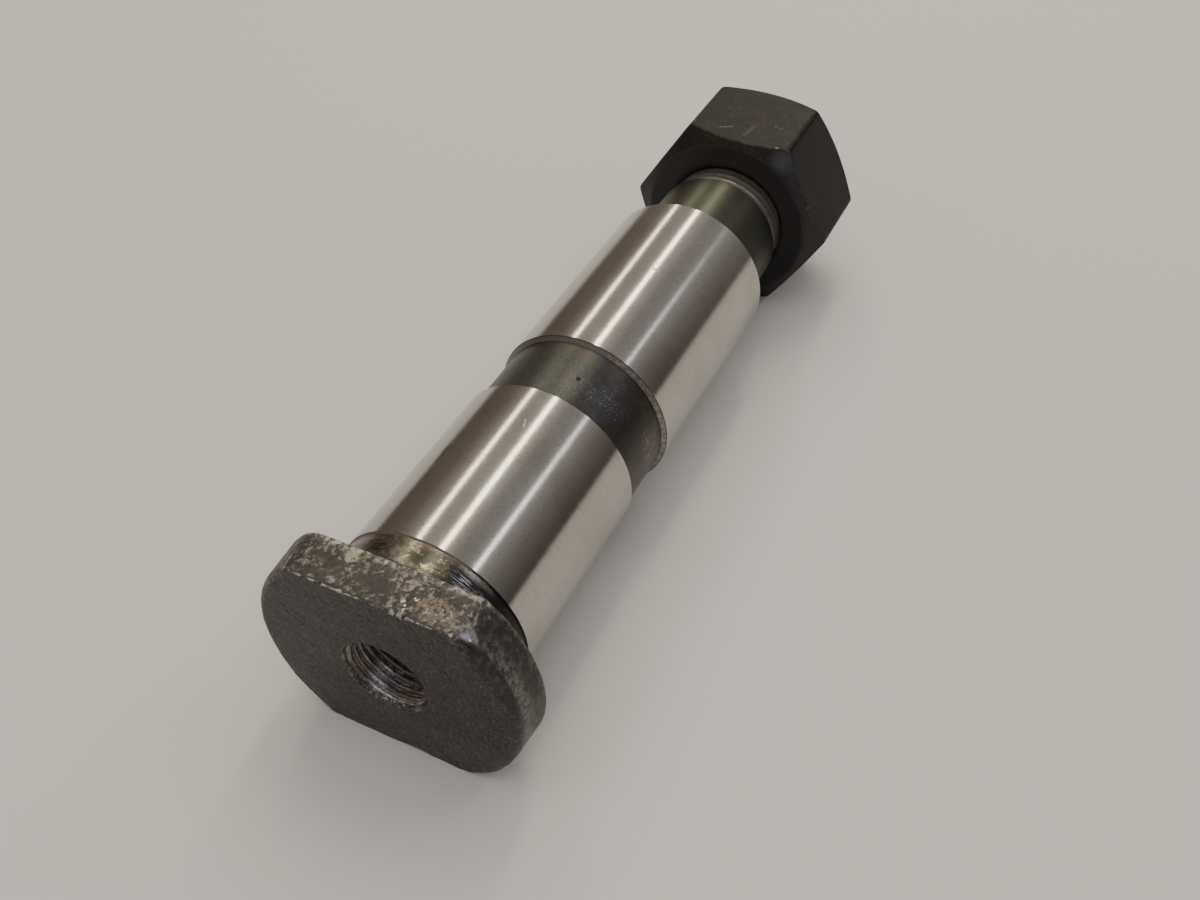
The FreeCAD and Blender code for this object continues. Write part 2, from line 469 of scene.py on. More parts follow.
def pin_wear(points):
    """How far each point of the pin has worn or been forged in."""
    along = points[:, 0] - head_face_x
    radius = np.hypot(points[:, 1], points[:, 2] - axis_height)
    depth = np.zeros(len(points))
    forged = (along < head_thickness + 0.1) & (radius > port_mouth_radius + 0.2)
    depth[forged] = 0.07 + 0.07 * ripple(points[forged], 3.5, 1) + 0.035 * ripple(points[forged], 1.1, 2)
    collar = (along > head_thickness + 0.5) & (along < ground_start - 0.5) & (radius > collar_radius - 1)
    depth[collar] = 0.02 + 0.02 * ripple(points[collar], 1.5, 3)
    relief = (along > relief_start + 1) & (along < relief_end - 1.4) & (radius > relief_radius - 1)
    depth[relief] = 0.02 + 0.02 * ripple(points[relief], 3.0, 5)
    return np.maximum(depth, 0)


def outlet_drill(metals):
    """A round cutter from the pin's axis down through the relief's underside, with the outlet's shape."""
    outlet_along = (relief_start + relief_end) / 2
    past = 1.0
    sink = outlet_mouth_radius - outlet_radius
    profile = [(0.0, outlet_radius), (relief_radius - sink, outlet_radius),
               (relief_radius + past, outlet_mouth_radius + past)]
    count = 48
    mesh = bpy.data.meshes.new("outlet_drill")
    points = []
    for down, radius in profile:
        for number in range(count):
            turn = 2 * math.pi * number / count
            x = head_face_x + outlet_along + radius * math.cos(turn)
            points.append((x * MM, radius * math.sin(turn) * MM, (axis_height - down) * MM))
    faces = [list(range(count)), list(range(2 * count, 3 * count))[::-1]]
    for level in (0, count):
        for number in range(count):
            other = (number + 1) % count
            faces.append([level + number, level + count + number, level + count + other, level + other])
    mesh.from_pydata(points, [], faces)
    for metal in metals:
        mesh.materials.append(metal)
    mesh.polygons.foreach_set("material_index", [NECK] * len(faces))
    return add_object("outlet_drill", mesh)


def drill_outlet(piece):
    """Drills the grease outlet from the relief's underside into the gallery."""
    drill = outlet_drill(piece.data.materials)
    cut = piece.modifiers.new("outlet", "BOOLEAN")
    cut.operation = "DIFFERENCE"
    cut.solver = "EXACT"
    cut.object = drill
    seen = piece.evaluated_get(bpy.context.evaluated_depsgraph_get())
    finished = bpy.data.meshes.new_from_object(seen)
    piece.modifiers.clear()
    # The cut leaves pairs of points in one place along the skin's seam, with flat faces between them
    work = bmesh.new()
    work.from_mesh(finished)
    weld(work, same_place, same_place)
    work.to_mesh(finished)
    work.free()
    piece.data = finished
    finished.name = piece.name
    bpy.data.objects.remove(drill)


def spring_pin(metals):
    """The pin's whole skin, from the gallery's drill point round to the centre hole."""
    corners = [side + sign * flat_corner_roll for side in (0, 180) for sign in (-1, 1)]
    skin = Skin(even_rolls(pin_columns, corners, 2.5))
    port_rings(skin)
    head_rings(skin)
    shank_rings(skin)
    thread_start = neck_end + neck_end_chamfer
    skin.thread(thread_start, overall_length, stud_pitch, external_form, stud_radius, THREAD, 4)
    stud_end_rings(skin)
    piece = skin.build("spring_pin_skin", metals, pin_wear)
    drill_outlet(piece)
    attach(piece, "pin")
    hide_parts("spring_pin")


def hexagon(rolls):
    """Radius of the nut's hexagonal outline at each roll, and how far along the flat its corner is."""
    from_flat = (np.degrees(rolls) - nut_turn + 30) % 60 - 30
    radius = nut_half_flats / np.cos(np.radians(from_flat))
    to_corner = np.radians(30 - np.abs(from_flat)) * nut_corner_radius
    rounding = 0.22 * bump_at(to_corner, 0, 0.5)
    return radius - rounding, to_corner


def nut_side(rolls, from_face):
    """Radius and wear of the nut's side, the given distance from its nearer face."""
    hexagonal, to_corner = hexagon(rolls)
    cone = nut_face_radius + from_face / nut_chamfer_slope
    soft = 0.18
    apart = np.clip((hexagonal - cone) / soft, -30, 30)
    radius = hexagonal - soft * np.log1p(np.exp(apart))
    corner_wear = 0.7 * bump_at(to_corner, 0, 0.45) * (cone > hexagonal)
    edge = np.maximum(bump_at(apart * soft, 0, 0.3), corner_wear)
    return radius, edge


def nut_half(rolls, deep):
    """The rings from the nut's bore over one face and that deep down its side.

    Each is its distance from the face, step, radius and wear.
    """
    sink = (nut_mouth_radius - nut_bore_radius) / math.tan(math.radians(nut_mouth_half_angle))
    rings = [(sink, 4, nut_bore_radius, 0.0), (0.0, 2, nut_mouth_radius, 0.0)]
    for way in steps(0, 1, 8):
        rings.append((0.0, 1, nut_mouth_radius + (nut_face_radius - nut_mouth_radius) * way, 0.0))
    for from_face in steps(0, deep, 25):
        rings.append((from_face, 1, *nut_side(rolls, from_face)))
    return rings


def hex_nut(metals):
    """The nut's skin, from inside the bore over its near face and sides and back into the bore."""
    corners = [nut_turn + 30 + 60 * number for number in range(6)]
    skin = Skin(even_rolls(nut_columns, corners, 1.6))
    deep = (nut_corner_radius - nut_face_radius) * nut_chamfer_slope + 0.6
    half = nut_half(skin.rolls, deep)
    skin.ring((nut_start + nut_end) / 2, nut_bore_radius, 0, 4)
    first = skin.last
    for from_face, step, radius, edge in half:
        skin.ring(nut_start + from_face, radius, 0, step, edge)
    for along in steps(nut_start + deep, nut_end - deep, 8)[:-1]:
        radius, edge = nut_side(skin.rolls, along - nut_start)
        skin.ring(along, radius, 0, 1, edge)
    for from_face, step, radius, edge in reversed(half):
        skin.ring(nut_end - from_face, radius, 0, step, edge)
    skin.stitch(skin.last, first, 0)
    piece = skin.build("hex_nut_skin", metals, nut_wear)
    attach(piece, "nut")
    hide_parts("hex_nut")


def nut_wear(points):
    """The nut's flats are a little uneven."""
    radius = np.hypot(points[:, 1], points[:, 2] - axis_height)
    outside = radius > nut_mouth_radius + 0.3
    depth = np.zeros(len(points))
    depth[outside] = 0.025 + 0.025 * ripple(points[outside], 6.0, 7, 2)
    return np.maximum(depth, 0)


class Metal:
    """A material whose colour, roughness and bump are built up in layers.

    Its texture space is in millimetres: x along the pin from the head's face, y across, z up from the axis.
    """

    def __init__(self, name, colour, roughness, metallic):
        self.material = bpy.data.materials.new(name)
        self.material.use_nodes = True
        self.tree = self.material.node_tree
        self.shader = self.tree.nodes["Principled BSDF"]
        self.shader.inputs["Metallic"].default_value = metallic
        self.colour = (*colour, 1.0)
        self.roughness = roughness
        self.height = 0.0
        place = self.node("ShaderNodeTexCoord").outputs["Object"]
        scaled = self.vector("SCALE", place, scale=1 / MM)
        self.place = self.vector("SUBTRACT", scaled, (head_face_x, 0, axis_height))
        parts = self.node("ShaderNodeSeparateXYZ")
        self.put(parts.inputs[0], self.place)
        self.along, self.across, self.up = (parts.outputs[name] for name in "XYZ")

    def node(self, kind):
        return self.tree.nodes.new(kind)

    def put(self, socket, value):
        """Sets a socket to a number, a tuple or another node's output."""
        if isinstance(value, bpy.types.NodeSocket):
            self.tree.links.new(value, socket)
        else:
            socket.default_value = value

    def vector(self, operation, one, two=(0, 0, 0), scale=1.0):
        made = self.node("ShaderNodeVectorMath")
        made.operation = operation
        self.put(made.inputs[0], one)
        if operation == "SCALE":
            self.put(made.inputs["Scale"], scale)
        elif operation != "LENGTH":
            self.put(made.inputs[1], two)
        return made.outputs["Value" if operation in ("LENGTH", "DOT_PRODUCT") else "Vector"]

    def math(self, operation, one, two=0.0):
        made = self.node("ShaderNodeMath")
        made.operation = operation
        self.put(made.inputs[0], one)
        self.put(made.inputs[1], two)
        return made.outputs[0]

    def both(self, *masks):
        """Masks multiplied together."""
        product = masks[0]
        for mask in masks[1:]:
            product = self.math("MULTIPLY", product, mask)
        return product

    def step(self, value, low, high):
        """0 at low and 1 at high, with an even turn between. High may be below low."""
        made = self.node("ShaderNodeMapRange")
        made.interpolation_type = "SMOOTHSTEP"
        self.put(made.inputs["Value"], value)
        made.inputs["From Min"].default_value = low
        made.inputs["From Max"].default_value = high
        return made.outputs["Result"]

    def noise(self, place, seed, detail, rough, warp=0.0):
        """Noise with waves of size 1, in a different part of it for each seed."""
        made = self.node("ShaderNodeTexNoise")
        shift = (seed * 7.1, seed * 3.7, seed * 11.3)
        self.put(made.inputs["Vector"], self.vector("ADD", place, shift))
        made.inputs["Scale"].default_value = 1.0
        made.inputs["Detail"].default_value = detail
        made.inputs["Roughness"].default_value = rough
        made.inputs["Distortion"].default_value = warp
        return made

    def grain(self, size, stretch=(1, 1, 1), seed=0, detail=3.0, rough=0.55, warp=0.0, turn=0.0):
        """Noise from 0 to 1 with grains of about size millimetres, longer where stretch is more.

        turn leans a stretch across the pin upwards by that many degrees, as seen on the head's face.
        """
        made = self.node("ShaderNodeVectorRotate")
        made.rotation_type = "X_AXIS"
        made.inputs["Angle"].default_value = math.radians(-turn)
        self.put(made.inputs["Vector"], self.place)
        scale = [1 / (size * share) for share in stretch]
        spot = self.vector("MULTIPLY", made.outputs[0], scale)
        return self.noise(spot, seed, detail, rough, warp).outputs["Fac"]

    def speckle(self, low, high, size, stretch=(1, 1, 1), **looks):
        """Grain in patches: 0 where it is at low and 1 where it is at high."""
        return self.step(self.grain(size, stretch, **looks), low, high)

    def strayed(self, waver, seed):
        """Places moved about by up to about waver millimetres, so that what is drawn there wanders."""
        near = self.vector("SCALE", self.place, scale=1 / 1.5)
        stray = self.noise(near, seed, 3.0, 0.6).outputs["Color"]
        stray = self.vector("SUBTRACT", stray, (0.5, 0.5, 0.5))
        return self.vector("ADD", self.place, self.vector("SCALE", stray, scale=4 * waver))

    def patch(self, centre, one, two, soft, depth=4.0, waver=0.0, seed=0):
        """1 near centre and 0 outside. one and two are half axes in the surface.

        depth is how far the patch reaches through the surface.
        """
        place = self.strayed(waver, seed) if waver else self.place
        from_centre = self.vector("SUBTRACT", place, centre)
        through = Vector(one).cross(Vector(two)).normalized() * depth
        squares = 0.0
        for axis in (one, two, through):
            length = sum(part * part for part in axis)
            share = self.vector("DOT_PRODUCT", from_centre, [part / length for part in axis])
            squares = self.math("ADD", squares, self.math("MULTIPLY", share, share))
        return self.step(self.math("SQRT", squares), 1.0, 1.0 - soft)

    def spot(self, radius, along, roll, length, height, soft, waver=0.0, seed=0):
        """A patch on a round surface, reaching length along the pin and height round it from its middle."""
        centre = on_pin(along, roll, radius)
        return self.patch(centre, (length, 0, 0), round_the_pin(roll, height), soft, 4.0, waver, seed)

    def inside(self, corners, soft, waver, seed):
        """1 inside a convex outline of (along, across) corners, listed clockwise as seen from above."""
        place = self.strayed(waver, seed)
        mask = 1.0
        for start, end in zip(corners, corners[1:] + corners[:1]):
            run = Vector(end) - Vector(start)
            inward = Vector((run.y, -run.x, 0)).normalized()
            from_start = self.vector("SUBTRACT", place, (*start, 0))
            mask = self.both(mask, self.step(self.vector("DOT_PRODUCT", from_start, inward), -soft, soft))
        return mask

    def line(self, points, width, waver, seed):
        """1 along a run of points and 0 away from it. waver is how far it strays."""
        place = self.strayed(waver, seed)
        mask = 0.0
        for start, end in zip(points[:-1], points[1:]):
            run = [last - first for first, last in zip(start, end)]
            length = sum(part * part for part in run)
            from_start = self.vector("SUBTRACT", place, start)
            share = self.vector("DOT_PRODUCT", from_start, [part / length for part in run])
            share = self.math("MINIMUM", self.math("MAXIMUM", share, 0.0), 1.0)
            off = self.vector("SUBTRACT", from_start, self.vector("SCALE", run, scale=share))
            part = self.step(self.vector("LENGTH", off), width, width * 0.2)
            mask = self.math("MAXIMUM", mask, part)
        return mask

    def worn(self):
        """The wear of the skin's edges, which its rings give."""
        made = self.node("ShaderNodeAttribute")
        made.attribute_name = "edge"
        return made.outputs["Fac"]

    def between(self, start, end, soft):
        """1 over a length of the pin."""
        return self.both(self.step(self.along, start - soft, start + soft),
                         self.step(self.along, end + soft, end - soft))

    def paint(self, colour, strength, *masks):
        """Lays a colour over what is there, where all the masks are 1."""
        made = self.node("ShaderNodeMix")
        made.data_type = "RGBA"
        factor, under, over = made.inputs[0], made.inputs[6], made.inputs[7]
        self.put(factor, self.both(*masks, strength))
        self.put(under, self.colour)
        self.put(over, (*colour, 1.0))
        self.colour = made.outputs[2]

    def roughen(self, mask, amount):
        """Adds amount to the roughness where the mask is 1."""
        self.roughness = self.math("ADD", self.roughness, self.math("MULTIPLY", mask, amount))

    def raise_by(self, mask, amount):
        """Adds amount millimetres of height where the mask is 1."""
        self.height = self.math("ADD", self.height, self.math("MULTIPLY", mask, amount))

    def brush_round(self, amount):
        """Spreads reflections along the pin, as marks that run round it do."""
        self.shader.inputs["Anisotropic"].default_value = amount
        self.shader.inputs["Anisotropic Rotation"].default_value = 0.25
        tangent = self.node("ShaderNodeTangent")
        tangent.direction_type = "RADIAL"
        tangent.axis = "X"
        self.tree.links.new(tangent.outputs[0], self.shader.inputs["Tangent"])

    def finish(self):
        """Joins the layers to the shader and gives the material."""
        self.put(self.shader.inputs["Base Color"], self.colour)
        self.put(self.shader.inputs["Roughness"], self.roughness)
        bump = self.node("ShaderNodeBump")
        bump.inputs["Strength"].default_value = 1.0
        bump.inputs["Distance"].default_value = MM
        self.put(bump.inputs["Height"], self.height)
        self.tree.links.new(bump.outputs["Normal"], self.shader.inputs["Normal"])
        return self.material


def on_pin(along, roll, radius):
    """A point of the texture space at a place on a round surface."""
    turn = math.radians(roll)
    return (along, -radius * math.sin(turn), radius * math.cos(turn))


def round_the_pin(roll, length):
    """A vector of the given length around the pin at a roll."""
    turn = math.radians(roll)
    return (0, -length * math.cos(turn), -length * math.sin(turn))


def ground_steel():
    """Bright ground journals with fine grinding marks round them."""
    metal = Metal("ground_steel", (0.45, 0.435, 0.41), 0.15, 1.0)
    metal.paint((0.38, 0.35, 0.31), 0.6, metal.speckle(0.45, 0.7, 14, seed=1))
    marks = metal.grain(0.3, (1, 40, 40), seed=2, detail=2.0)
    metal.paint((0.33, 0.305, 0.28), 0.35, metal.step(marks, 0.55, 0.8))
    mottle = metal.grain(0.3, (1, 3, 3), seed=60, detail=2.0)
    metal.paint((0.3, 0.27, 0.24), 0.4, metal.step(mottle, 0.45, 0.75))
    smudge = metal.spot(journal_radius, 38.2, -28.5, 4.0, 1.0, 0.8)
    blotch = metal.speckle(0.35, 0.6, 1.2, seed=3)
    metal.paint((0.09, 0.07, 0.055), 0.85, smudge, blotch)
    nick = metal.spot(journal_radius, 106.5, 10.5, 0.25, 1.1, 0.6)
    metal.paint((0.12, 0.10, 0.09), 1.0, nick)
    metal.raise_by(nick, -0.05)
    ends = [on_pin(49.4, 6.5, journal_radius), on_pin(51.3, 4.5, journal_radius)]
    scratch = metal.line(ends, 0.11, 0.12, 61)
    metal.raise_by(scratch, 0.01)
    metal.roughen(scratch, 0.1)
    for edge in (relief_start, neck_start):
        metal.paint((0.1, 0.09, 0.08), 0.8, metal.between(edge - journal_edge_break, edge, 0.05))
    metal.roughen(metal.step(marks, 0.4, 0.75), 0.05)
    metal.raise_by(marks, 0.009)
    metal.raise_by(mottle, 0.008)
    metal.brush_round(0.6)
    return metal.finish()


def relief_steel():
    """The unground length between the journals, dark with oxide, with painted shade on its sides and in its
    hollows.
    """
    metal = Metal("relief_steel", (0.076, 0.081, 0.074), 0.38, 0.8)
    metal.paint((0.11, 0.1, 0.09), 0.6, metal.speckle(0.45, 0.75, 7, seed=4))
    metal.paint((0.05, 0.05, 0.05), 0.6, metal.speckle(0.5, 0.8, 2.2, seed=5))
    mottle = metal.grain(0.5, seed=59, detail=3.0)
    metal.paint((0.04, 0.04, 0.042), 0.6, metal.step(mottle, 0.42, 0.7))
    # Painted shade round the sides: darker and slightly violet from 5 mm across towards -Y, darker brown
    # further round, darkest low on that side, and darker on the +Y side.
    violet_shade = metal.step(metal.across, -5, -9)
    metal.paint((0.055, 0.051, 0.058), 0.7, violet_shade)
    far_side = metal.step(metal.across, -12.5, -16)
    metal.paint((0.06, 0.048, 0.043), 0.75, far_side)
    shade = metal.both(metal.step(metal.across, -14.5, -16.0), metal.step(metal.across, -18.7, -17.4))
    metal.paint((0.028, 0.025, 0.024), 0.7, shade)
    left_side = metal.step(metal.across, 7, 12)
    metal.paint((0.05, 0.045, 0.04), 0.75, left_side)
    rust = metal.both(metal.between(73.4, 77.0, 1.2), metal.speckle(0.38, 0.6, 3.5, seed=62))
    metal.paint((0.1, 0.075, 0.062), 0.7, rust)
    specks = metal.speckle(0.58, 0.68, 0.2, (1.6, 1, 1), seed=6, detail=2.0)
    crowd = metal.speckle(0.42, 0.6, 2.6, seed=7, detail=4.0)
    dense = metal.spot(relief_radius, 67, 32, 7.5, 9.0, 0.7, 1.0, 58)
    crowd = metal.both(crowd, metal.math("ADD", 0.14, dense))
    metal.paint((0.38, 0.38, 0.41), 0.9, specks, crowd)
    crumb = metal.spot(relief_radius, 65.2, 47, 0.3, 0.2, 0.9)
    metal.paint((0.45, 0.45, 0.45), 0.7, crumb)
    pit = metal.spot(relief_radius, 67.8, 14, 0.55, 0.5, 0.9, 0.2, 57)
    metal.paint((0.012, 0.011, 0.01), 0.85, pit)
    metal.raise_by(pit, -0.15)
    green = metal.spot(relief_radius, 70.8, 84, 4.0, 7.0, 0.8)
    dust = metal.speckle(0.45, 0.62, 0.9, seed=8, detail=8.0, rough=0.7)
    metal.paint((0.2, 0.19, 0.14), 0.8, green, dust)
    foot = relief_end - relief_far_chamfer
    cut = metal.step(metal.along, foot - 0.1, foot + 0.1)
    metal.paint((0.2, 0.186, 0.173), 0.9, cut)
    rubbed = metal.both(cut, violet_shade, metal.speckle(0.42, 0.62, 0.9, seed=56))
    metal.paint((0.36, 0.33, 0.31), 0.7, rubbed)
    # Painted shade in the corner at the foot of the far chamfer.
    metal.paint((0.05, 0.042, 0.038), 0.7, metal.between(foot - 0.4, foot + 0.05, 0.1))
    metal.paint((0.04, 0.035, 0.03), 0.7, metal.step(metal.along, relief_end - 0.22, relief_end - 0.1))
    # Painted shade in the hollow where the relief starts.
    metal.paint((0.05, 0.045, 0.04), 0.7, metal.step(metal.along, relief_start + 0.9, relief_start + 0.4))
    metal.raise_by(metal.grain(0.6, seed=9), 0.02)
    metal.raise_by(metal.grain(0.3, (1, 20, 20), seed=63, detail=2.0), 0.008)
    return metal.finish()


def neck_steel():
    """The turned neck, smooth under an olive oxide, with painted shade on its sides and in the hollow where
    it starts.
    """
    metal = Metal("neck_steel", (0.1, 0.108, 0.08), 0.33, 0.9)
    metal.paint((0.085, 0.09, 0.07), 0.7, metal.speckle(0.45, 0.7, 9, seed=10))
    metal.paint((0.09, 0.085, 0.072), 0.55, metal.speckle(0.5, 0.75, 1.2, seed=64, detail=4.0))
    # Painted shade on the neck's sides: darker from 5 mm across towards -Y, near black further round on that
    # side, and darker on the +Y side.
    metal.paint((0.07, 0.073, 0.057), 0.7, metal.step(metal.across, -5, -9))
    metal.paint((0.011, 0.012, 0.01), 0.94, metal.step(metal.across, -12.6, -15.1))
    metal.paint((0.07, 0.06, 0.05), 0.75, metal.step(metal.across, 4, 11))
    # Painted shade in the hollow where the neck starts.
    metal.paint((0.05, 0.045, 0.04), 0.8, metal.step(metal.along, neck_start + 1.1, neck_start + 0.5))
    marks = metal.grain(0.25, (1, 80, 80), seed=11, detail=2.0)
    metal.roughen(marks, 0.08)
    metal.raise_by(marks, 0.003)
    metal.raise_by(metal.grain(0.5, seed=65), 0.004)
    metal.brush_round(0.4)
    return metal.finish()


def thread_steel():
    """The threaded end: dark roots and lighter crests."""
    metal = Metal("thread_steel", (0.48, 0.455, 0.415), 0.33, 0.9)
    crest = metal.step(metal.worn(), 0.55, 1.0)
    metal.paint((0.6, 0.56, 0.58), 0.6, crest, metal.speckle(0.4, 0.65, 2.0, seed=66))
    metal.paint((0.2, 0.14, 0.12), 0.5, metal.speckle(0.5, 0.75, 1.5, seed=12))
    end = metal.step(metal.along, overall_length - 0.7, overall_length - 0.1)
    metal.paint((0.22, 0.2, 0.185), 0.8, end)
    metal.raise_by(metal.grain(0.5, seed=13), 0.008)
    return metal.finish()


def port_steel():
    """The port's threads: brown and bluish with oil, worn at the mouth, with painted highlights on the crests
    and roots, painted shade on the flanks, painted glints on the lower wall and painted shade further in.
    """
    metal = Metal("port_steel", (0.22, 0.19, 0.175), 0.2, 0.5)
    stains = metal.grain(1.1, (1, 2.5, 2.5), seed=55, detail=4.0)
    metal.paint((0.1, 0.084, 0.077), 0.8, metal.step(stains, 0.45, 0.65))
    low = metal.both(metal.step(metal.up, -3.5, -6.0), metal.step(metal.across, -2.0, 1.5))
    metal.paint((0.15, 0.148, 0.18), 0.8, low)
    # Painted highlights: light lines on the thread crests and brighter ones on the roots, in speckled
    # patches.
    crest = metal.step(metal.worn(), 0.8, 1.0)
    root = metal.step(metal.worn(), 0.25, 0.08)
    crest_and_root_highlights = metal.math("MAXIMUM", crest, root)
    worn = metal.speckle(0.34, 0.54, 1.2, seed=70, detail=3.0)
    metal.paint((0.44, 0.4, 0.37), 0.8, crest_and_root_highlights, worn)
    metal.paint((0.8, 0.74, 0.7), 0.8, root, worn)
    # Painted shade on the flanks between the crests and roots.
    flank = metal.both(metal.step(metal.worn(), 0.2, 0.45), metal.step(metal.worn(), 0.8, 0.55))
    metal.paint((0.05, 0.042, 0.04), 0.5, flank)
    fine = metal.grain(0.26, (1, 30, 30), seed=81, detail=2.0)
    metal.paint((0.04, 0.034, 0.032), 0.55, metal.step(fine, 0.5, 0.62))
    metal.paint((0.42, 0.38, 0.35), 0.6, worn, metal.step(fine, 0.42, 0.32))
    # Painted highlights: bluish-white gleams on the lower +Y wall, broken into bits along the crests and
    # roots.
    broken = metal.speckle(0.38, 0.52, 0.3, (0.7, 2, 2), seed=47, detail=2.0)
    broken = metal.both(broken, metal.step(fine, 0.68, 0.56))
    for place, reach in (((1.5, 4.2, -7.1), 1.0), ((2.8, 4.6, -6.9), 1.3), ((4.8, 4.8, -6.7), 1.5)):
        gleam = metal.patch(place, (reach, 0, 0), (0, 2.3, 1.5), 0.8, waver=0.5, seed=71)
        metal.paint((0.9, 0.92, 1.0), 1.0, gleam, broken, metal.math("ADD", 0.6, crest_and_root_highlights))
    mouth = metal.step(metal.along, 1.3, 0.9)
    metal.paint((0.062, 0.055, 0.05), 0.85, mouth)
    crumbs = metal.speckle(0.52, 0.6, 0.6, seed=14, detail=5.0, rough=0.65)
    metal.paint((0.3, 0.27, 0.245), 0.8, mouth, crumbs)
    lead_in = metal.patch((1.0, 8.3, 2.0), (1.7, 0, 0), (0, -1.2, 5.0), 0.6, waver=0.5, seed=54)
    chips = metal.speckle(0.4, 0.52, 0.8, seed=53, detail=5.0)
    metal.paint((0.36, 0.32, 0.3), 0.8, lead_in, chips)
    below = metal.step(metal.up, -5.0, -6.5)
    # Painted glints, near white, on the lower wall near the mouth.
    painted_glints = metal.speckle(0.58, 0.66, 0.5, (0.6, 2.5, 2.5), seed=67)
    metal.paint((0.95, 0.95, 0.97), 1.0, below, painted_glints, metal.between(0.7, 2.6, 0.2))
    # Painted glints, near white, on the lower wall deeper in.
    deep = metal.speckle(0.64, 0.7, 0.7, (0.5, 2.0, 2.0), seed=69)
    metal.paint((0.9, 0.9, 0.92), 0.8, below, deep, metal.between(3.5, 8.5, 0.5))
    # Painted shade, near black, deep in the port.
    metal.paint((0.018, 0.015, 0.014), 1.0, metal.step(metal.along, 6.5, 11.0))
    metal.raise_by(metal.grain(0.4, seed=15), 0.035)
    return metal.finish()


def collar_steel():
    """The turned collar: brownish metal, with oil, crumbs of dirt and a black streaky side with painted
    bluish highlight streaks, and painted shade on its +Y side and in the hollow by the head.
    """
    metal = Metal("collar_steel", (0.31, 0.273, 0.225), 0.27, 0.95)
    mottle = metal.grain(1.0, seed=16, detail=8.0, rough=0.72)
    metal.paint((0.13, 0.11, 0.09), 0.8, metal.step(mottle, 0.4, 0.56))
    fine = metal.grain(0.35, seed=52, detail=4.0)
    metal.paint((0.07, 0.06, 0.052), 0.6, metal.step(fine, 0.52, 0.7))
    streaks = metal.grain(0.2, (1, 12, 12), seed=17, detail=3.0)
    oil = metal.spot(collar_radius, 13.3, -25, 1.9, 4.3, 0.4, 0.5, 48)
    metal.paint((0.032, 0.027, 0.024), 0.85, oil, metal.step(streaks, 0.62, 0.42))
    # Painted shade on the collar's +Y side.
    metal.paint((0.16, 0.135, 0.11), 0.6, metal.step(metal.across, 9.0, 12.0))
    grime = metal.spot(collar_radius, 13.4, 15, 2.9, 7.2, 0.4, 0.8, 76)
    blots = metal.speckle(0.38, 0.47, 1.5, (1, 1.7, 1.7), seed=51, detail=8.0, rough=0.7)
    metal.paint((0.07, 0.073, 0.06), 0.93, grime, blots)
    crumbs = metal.speckle(0.47, 0.54, 0.7, seed=49, detail=6.0, rough=0.7)
    heaps = ((12.1, 9.5, 0.9, 1.5), (13.0, -1.5, 0.9, 0.9), (12.0, 15.5, 0.5, 0.8))
    for along, roll, length, height in heaps:
        heap = metal.spot(collar_radius, along, roll, length, height, 0.5, 0.5, 50)
        metal.paint((0.48, 0.44, 0.26), 0.8, heap, crumbs)
    ragged = metal.math("ADD", metal.across, metal.math("MULTIPLY", metal.math("SUBTRACT", mottle, 0.5), 6.0))
    side = metal.both(metal.step(ragged, -7.5, -9.0), metal.step(metal.along, 15.7, 15.0))
    black = metal.math("MAXIMUM", side, metal.step(ragged, -13.0, -14.5))
    metal.paint((0.026, 0.026, 0.03), 0.93, black)
    metal.roughen(black, 0.12)
    # Painted highlights: pale bluish streaks on the black side.
    streaked_highlight = metal.spot(collar_radius, 13.4, 35, 2.3, 5.4, 0.6, 0.4, 77)
    metal.paint((0.5, 0.52, 0.58), 0.85, streaked_highlight, metal.step(streaks, 0.54, 0.62))
    rubbed = metal.both(metal.between(15.0, 16.2, 0.3), metal.step(metal.across, -7.5, -9.5))
    rubbed = metal.both(rubbed, metal.step(metal.across, -15.5, -13.5), metal.step(streaks, 0.44, 0.56))
    metal.paint((0.24, 0.235, 0.23), 0.8, rubbed)
    marks = metal.grain(0.35, (1, 30, 30), seed=18, detail=2.0)
    metal.paint((0.12, 0.105, 0.09), 0.4, metal.step(marks, 0.55, 0.75))
    # Painted shade in the hollow by the head.
    root = metal.step(metal.along, head_thickness + 1.6, head_thickness + 0.8)
    metal.paint((0.03, 0.026, 0.023), 0.85, root)
    step_up = metal.between(ground_start - 0.35, ground_start, 0.06)
    step_up = metal.both(step_up, metal.step(metal.across, -12, -8))
    metal.paint((0.34, 0.295, 0.25), 0.85, step_up)
    metal.roughen(step_up, 0.3)
    metal.raise_by(marks, 0.008)
    metal.raise_by(mottle, 0.02)
    metal.raise_by(fine, 0.012)
    return metal.finish()


def on_flat(along, across):
    """A point of the texture space on the head's upper flat."""
    return (along, across, head_half_flats)


